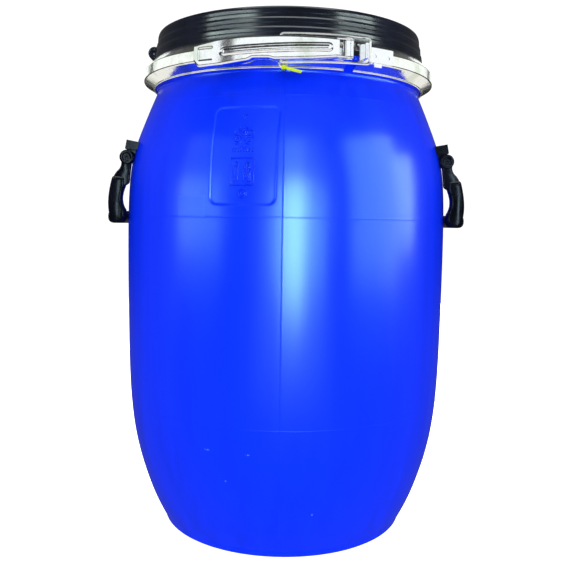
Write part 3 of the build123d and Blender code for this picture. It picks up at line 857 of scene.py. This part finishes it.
def latch_link():
    """Closed wire frame with rounded corners that follows the ring's curve."""
    left, right = [radians(azimuth) * LINK_RADIUS for azimuth in LINK_AZIMUTHS]
    corners = [(left, LINK_LEFT_Z[0], 4.0), (right, LINK_RIGHT_Z[0], 4.5), (right, LINK_RIGHT_Z[1], 4.5),
               (left, LINK_LEFT_Z[1], 4.0)]
    outline = rounded(corners, 8)
    path = []
    for index, (x, z) in enumerate(outline):
        x_next, z_next = outline[(index + 1) % len(outline)]
        steps = max(1, int(hypot(x_next - x, z_next - z) / 2.5))
        path += [(x + (x_next - x) * k / steps, z + (z_next - z) * k / steps) for k in range(steps)]
    points = [spot(degrees(x / LINK_RADIUS), LINK_RADIUS * MM, z * MM) for x, z in path]
    return tube("link_wire", points, 1.4 * MM, True, 16)


finish_piece(latch_link(), "link", PIN_STEEL, ["latch_link"])

# ---- swing handles ------------------------------------------------------------------------
HINGE_X, HINGE_Z, CAP_RADIUS = 189.0, 452.1, 8.5
ARM_Y, NECK_Y, CAP_Y = (57.0, 71.0), (62.4, 69.4), (62.5, 70.9)
GRIP_RADII, GRIP_Z, GRIP_ROUND = (200.8, 221.6), (374.3, 390.1), 7.4
ARM_OUTER = ((206.0, 430.6), (211.3, 404.0), (209.8, 383.0))
ARM_TOE = ((209.8, 383.0), (207.6, 377.2), (203.0, 374.3))
ARM_INNER = ((191.2, 390.2), (195.3, 403.0), (191.6, 418.4))
ARM_UNDER = [(197.2, 374.3), (191.2, 380.2)]
ARM_LEDGE = [(191.2, 428.7)]
NECK = [(183.8, 446.0, 1), (185.6, 432.0, 2), (186.6, 421.6, 2), (191.6, 418.4, 1), (204.6, 424.0, 2),
        (204.4, 430.2, 2), (201.8, 434.4, 2), (197.4, 438.8, 2), (195.5, 443.4, 2), (195.8, 450.0, 1)]


def bow(first, middle, last, steps=9):
    """Points on a shallow curve through three points."""
    points = []
    for t in np.linspace(0, 1, steps):
        weights = ((1 - t) * (1 - 2 * t), 4 * t * (1 - t), t * (2 * t - 1))
        points.append(tuple(sum(w * p[k] for w, p in zip(weights, (first, middle, last))) for k in (0, 1)))
    return points


def flat_piece(name, outline, y_range, side, end):
    """A solid from an (x, z) outline in mm, thick along Y, mirrored to its side and end."""
    piece = prism(name, mm(outline), y_range[0] * MM, y_range[1] * MM)
    piece.data.transform(Matrix(((side, 0, 0, 0), (0, 0, end, 0), (0, 1, 0, 0), (0, 0, 0, 1))))
    return piece


def handle_arms(side):
    """The two thick bowed arms of a handle."""
    outline = bow(*ARM_OUTER) + bow(*ARM_TOE)[1:] + ARM_UNDER + bow(*ARM_INNER) + ARM_LEDGE
    arms = joined([flat_piece("arm", outline, ARM_Y, side, end) for end in (-1, 1)], "handle_arms")
    merge(arms)
    return arms


def handle_necks(side):
    """The flat necks that carry the arms below their caps."""
    outline = rounded(NECK, 4)
    necks = joined([flat_piece("neck", outline, NECK_Y, side, end) for end in (-1, 1)], "handle_necks")
    merge(necks)
    return necks


def handle_caps(side):
    """Dished round caps over the hinge pins."""
    low, high = CAP_Y
    profile = rounded([
        (0.02, low, 0), (7.2, low, 0.5), (7.2, 66.0, 0.4), (CAP_RADIUS, 66.2, 0.5), (CAP_RADIUS, high, 1.6),
        (5.2, high, 0.8), (4.4, high - 0.9, 0.8), (2.4, high - 0.9, 0.5), (2.0, high - 0.2, 0.6),
        (0.02, high - 0.2, 0),
    ], 4)
    caps = []
    for end in (-1, 1):
        cap = lathe("cap", mm(profile), 40)
        cap.data.transform(Matrix((
            (1, 0, 0, side * HINGE_X * MM),
            (0, 0, end, 0),
            (0, 1, 0, HINGE_Z * MM),
            (0, 0, 0, 1),
        )))
        caps.append(cap)
    caps = joined(caps, "handle_caps")
    merge(caps)
    return caps


def handle_grip(side):
    """The rounded grip that joins the arms along the drum's curve."""
    (inner, outer), (low, high) = GRIP_RADII, GRIP_Z
    section = rounded([(inner, low, GRIP_ROUND), (outer, low, GRIP_ROUND), (outer, high, GRIP_ROUND),
                       (inner, high, GRIP_ROUND)], 6)
    reach = degrees(asin(70.0 / outer))
    return lathe("handle_grip", mm(section), 60, side * 90 - reach, 2 * reach)


for side, side_name in ((-1, "left"), (1, "right")):
    for make, edge in ((handle_arms, 3.4), (handle_necks, 1.2), (handle_caps, 0.0), (handle_grip, 0.0)):
        piece = make(side)
        piece.name = f"{side_name}_{make.__name__}"
        if edge:
            bevel(piece, edge * MM, 5).use_clamp_overlap = False
        node = [f"{side_name}_handle"] if make is handle_arms else []
        finish_piece(piece, f"{side_name}_bail", HANDLE_BLACK, node)

# ---- CAD nodes that keep their shape ------------------------------------------------------
KEPT = {
    "lid_gasket": (RUBBER, 0.3),
    "fulcrum_bracket": (LATCH_STEEL, 0.35),
    "catch_bracket": (LATCH_STEEL, 0.35),
    "seal_lug": (LATCH_STEEL, 0.25),
    "security_seal": (SEAL, 0.25),
    "lever_pin": (PIN_STEEL, 0.3),
}
for side in ("left", "right"):
    for end in ("front", "rear"):
        KEPT[f"{side}_{end}_handle_bracket"] = (HANDLE_BLACK, 0.7)
        KEPT[f"{side}_{end}_hinge_pin"] = (HANDLE_BLACK, 0.4)
for node, (look, width) in KEPT.items():
    thing = frame["nodes"][node]
    paint(thing, look)
    bevel(thing, width * MM)

# ---- floor, light and camera --------------------------------------------------------------
WHITE, DAYLIGHT, WARM = (1, 1, 1), (0.80, 0.95, 1.0), (1.0, 0.98, 0.92)
PALE, GREENISH = (0.96, 1.0, 0.98), (0.94, 1.0, 0.90)
CAMERA_ROOM, DIFFUSE_ROOM = grey(1.1), grey(0.04)
# how bright the room is in reflections, from straight down (0) over the horizon (0.5) to straight up (1)
GLOSSY_ROOM = [(0.0, grey(0.10)), (0.42, grey(0.08)), (0.48, grey(0.01)), (0.53, grey(0.01)),
               (0.60, grey(0.12)), (0.75, grey(0.14)), (0.95, grey(0.06))]
CAMERA_PLACE, CAMERA_PITCH, CAMERA_ROLL = (1.9 * MM, -937.4 * MM, 375.4 * MM), -4.86, 0.88
SENSOR_WIDTH, FOCAL_LENGTH = 36.0, 45.73


def floor():
    """A wide pale floor that glows white and keeps out of the reflections."""
    half = 6.0
    corners = [(-half, -half, 0), (half, -half, 0), (half, half, 0), (-half, half, 0)]
    thing = new_object("floor", corners, [(0, 1, 2, 3)])
    made, tree, shader = material("floor_white", grey(0.93), 0.9, specular=0.1)
    shade = noise_node(tree, 3.0, 2.0)
    tree.links.new(ramp(tree, shade, grey(0.92), grey(0.95)), shader.inputs["Base Color"])
    thing.data.materials.append(made)
    shader.inputs["Emission Color"].default_value = (1.0, 1.0, 1.0, 1.0)
    shader.inputs["Emission Strength"].default_value = 1.0
    thing.visible_glossy = False
    thing.visible_diffuse = False


def softbox(name, azimuth, distance, height, size, power, color=WHITE, aim=0.3, diffuse=True, glossy=True,
            only=None):
    """A rectangular lamp at an azimuth, turned towards a height on the drum's axis.

    It can be left out of the diffuse or the glossy light, or light only one group of pieces.
    """
    lamp = bpy.data.lights.new(name, "AREA")
    lamp.shape = "RECTANGLE"
    lamp.size, lamp.size_y = size
    lamp.energy = power
    lamp.color = color
    thing = bpy.data.objects.new(name, lamp)
    bpy.context.scene.collection.objects.link(thing)
    thing.location = spot(azimuth, distance, height)
    thing.rotation_euler = (Vector((0, 0, aim)) - thing.location).to_track_quat("-Z", "Y").to_euler()
    thing.visible_camera = False
    thing.visible_diffuse = diffuse
    thing.visible_glossy = glossy
    if only is not None:
        thing.light_linking.receiver_collection = only


def world():
    """A room that is white to the camera, dim for diffuse light, and darkest at the horizon in reflections."""
    made = bpy.data.worlds.new("studio")
    made.use_nodes = True
    tree = made.node_tree
    back = tree.nodes["Background"]
    rays = tree.nodes.new("ShaderNodeLightPath")
    place = tree.nodes.new("ShaderNodeTexCoord")
    split = tree.nodes.new("ShaderNodeSeparateXYZ")
    tree.links.new(place.outputs["Generated"], split.inputs[0])
    stops = tree.nodes.new("ShaderNodeValToRGB")
    elements = stops.color_ramp.elements
    lift = math(tree, "MULTIPLY_ADD", split.outputs[2], 0.5, 0.5)
    tree.links.new(lift, stops.inputs[0])
    for index, (position, tone) in enumerate(GLOSSY_ROOM):
        if index > 1:
            elements.new(position)
        elements[index].position = position
        elements[index].color = (*tone, 1.0)
    level = mixed(tree, rays.outputs["Is Glossy Ray"], DIFFUSE_ROOM, stops.outputs[0])
    level = mixed(tree, rays.outputs["Is Camera Ray"], level, CAMERA_ROOM)
    tree.links.new(level, back.inputs["Color"])
    made.cycles.sampling_method = "NONE"
    bpy.context.scene.world = made


def camera():
    """A close viewpoint in front, a little above the drum's mid height, looking slightly down."""
    lens = bpy.data.cameras.new("camera")
    lens.sensor_width = SENSOR_WIDTH
    lens.lens = FOCAL_LENGTH
    thing = bpy.data.objects.new("camera", lens)
    bpy.context.scene.collection.objects.link(thing)
    thing.location = CAMERA_PLACE
    down, roll = pi / 2 + radians(CAMERA_PITCH), radians(CAMERA_ROLL)
    look = Matrix.Rotation(down, 4, "X") @ Matrix.Rotation(roll, 4, "Z")
    thing.rotation_euler = look.to_euler()
    bpy.context.scene.camera = thing


floor()
# even light: azimuth, distance and height, size, power
for name, *place in (
    ("front_fill", 4.0, 2.4, 0.5, (2.2, 2.0), 70),
    ("right_fill", 95.0, 2.4, 0.9, (2.0, 2.0), 27),
    ("left_fill", -95.0, 2.4, 0.9, (2.0, 2.0), 27),
    ("back_fill", 180.0, 2.4, 0.9, (2.0, 2.0), 56),
    ("top_fill", 0.0, 0.4, 2.6, (2.6, 2.6), 60),
):
    softbox(name, *place, glossy=False)
softbox("floor_fill", 0.0, 0.001, 0.002, (3.0, 3.0), 25, aim=1.0, glossy=False)
# highlights: azimuth, distance and height, size, power, colour, aimed height, and the pieces they light
for name, *place, group in (
    ("strip", 5.6, 1.55, 0.40, (0.30, 0.56), 30, (1, 0.97, 0.97), 0.35, BLUES),
    ("strip_top", 5.6, 1.55, 1.02, (0.34, 0.70), 8, (0.95, 1, 1), 0.35, BLUES),
    ("strip_wing", 8.0, 1.55, 0.42, (0.95, 0.46), 24, DAYLIGHT, 0.35, BLUES),
    ("front_top", 0.0, 1.60, 1.42, (1.50, 0.70), 10, DAYLIGHT, 0.40, BLUES),
    ("left_top", -52.0, 1.70, 1.05, (1.30, 0.80), 10, DAYLIGHT, 0.40, BLUES),
    ("right_box", 86.0, 1.5, 0.62, (0.40, 0.60), 12, DAYLIGHT, 0.35, BLUES),
    ("right_wing", 61.0, 1.5, 0.76, (1.05, 1.15), 52, DAYLIGHT, 0.35, BLUES),
    ("left_box", -58.0, 1.7, 0.50, (1.0, 0.40), 15, DAYLIGHT, 0.35, BLUES),
    ("left_high", -47.0, 1.7, 1.24, (1.3, 0.22), 18, GREENISH, 0.57, BLACKS),
    ("right_high", 56.0, 1.7, 1.24, (1.0, 0.22), 16, GREENISH, 0.57, BLACKS),
    ("overhead", 0.0, 0.5, 2.30, (2.0, 1.0), 45, WARM, 0.50, BLACKS),
    ("left_streak", -16.0, 1.5, 0.42, (0.10, 0.5), 2, DAYLIGHT, 0.4, BLACKS),
    ("right_streak", 24.0, 1.5, 0.42, (0.10, 0.5), 2, DAYLIGHT, 0.4, BLACKS),
    ("low_card", 0.0, 0.001, 0.004, (4.0, 4.0), 44, WARM, 1.0, METALS),
):
    softbox(name, *place, diffuse=False, only=group)
for azimuth in (4, 94, 184, 274):
    softbox(f"card_{azimuth}", azimuth, 2.6, 1.45, (4.5, 1.3), 19, PALE, 1.2, diffuse=False, only=METALS)
world()
camera()
bpy.context.scene.view_settings.view_transform = "Standard"
